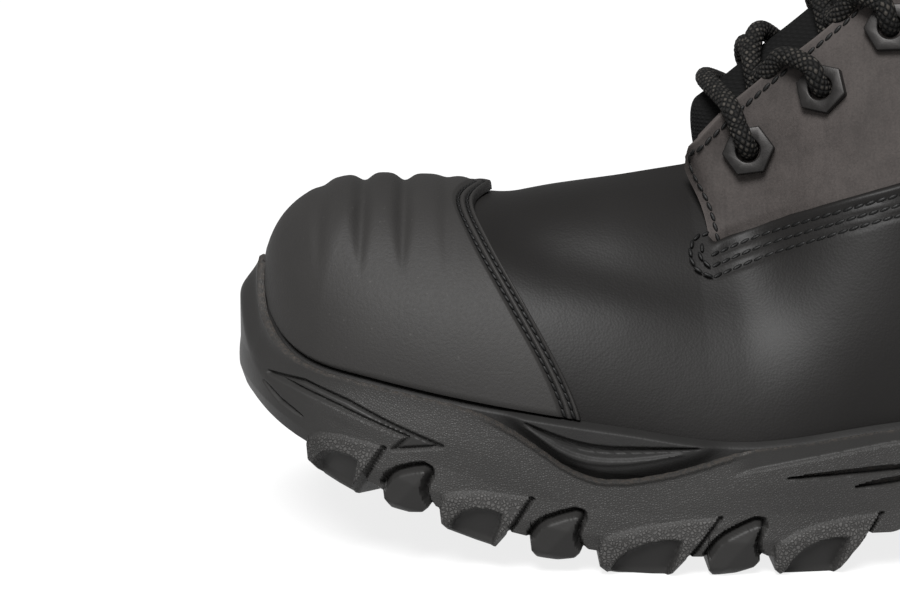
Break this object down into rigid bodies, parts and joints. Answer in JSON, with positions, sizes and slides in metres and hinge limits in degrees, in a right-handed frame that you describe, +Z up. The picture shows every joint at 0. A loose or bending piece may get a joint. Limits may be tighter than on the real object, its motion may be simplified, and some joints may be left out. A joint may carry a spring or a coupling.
{
  "type": "work boot",
  "caption": "Black lace-up work boot for the left foot: hollow leather upper with a moulded toe cap, tongue, insole, midsole, deeply lugged outsole, eyelets and lace.",
  "frame": {"origin": "on the floor under the middle of the boot's box", "axes": "+X from toe to heel, +Y to the inner side of the foot, +Z up"},
  "size_m": [0.3042, 0.1101, 0.1946],
  "materials": {
    "sole_rubber": "matte moulded rubber with a fine grain",
    "midsole_foam": "matte foamed rubber",
    "insole_foam": "felted cloth over foam",
    "upper_leather": "waxed black leather with a soft sheen",
    "cap_rubber": "matte rubber with a fine speckle",
    "tongue_cloth": "matte padded cloth",
    "eyelet_metal": "satin black coating",
    "lace_cord": "round braided cord"
  },
  "bodies": {
    "root": {"outsole": "sole_rubber", "midsole": "midsole_foam", "insole": "insole_foam", "upper": "upper_leather", "toe_cap": "cap_rubber", "tongue": "tongue_cloth", "eyelet_lateral_1": "eyelet_metal", "eyelet_lateral_2": "eyelet_metal", "eyelet_lateral_3": "eyelet_metal", "eyelet_lateral_4": "eyelet_metal", "eyelet_lateral_5": "eyelet_metal", "eyelet_medial_1": "eyelet_metal", "eyelet_medial_2": "eyelet_metal", "eyelet_medial_3": "eyelet_metal", "eyelet_medial_4": "eyelet_metal", "eyelet_medial_5": "eyelet_metal", "lace_bar": "lace_cord", "lace_cross_1": "lace_cord", "lace_cross_2": "lace_cord", "lace_cross_3": "lace_cord", "lace_cross_4": "lace_cord"}
  },
  "joints": []
}
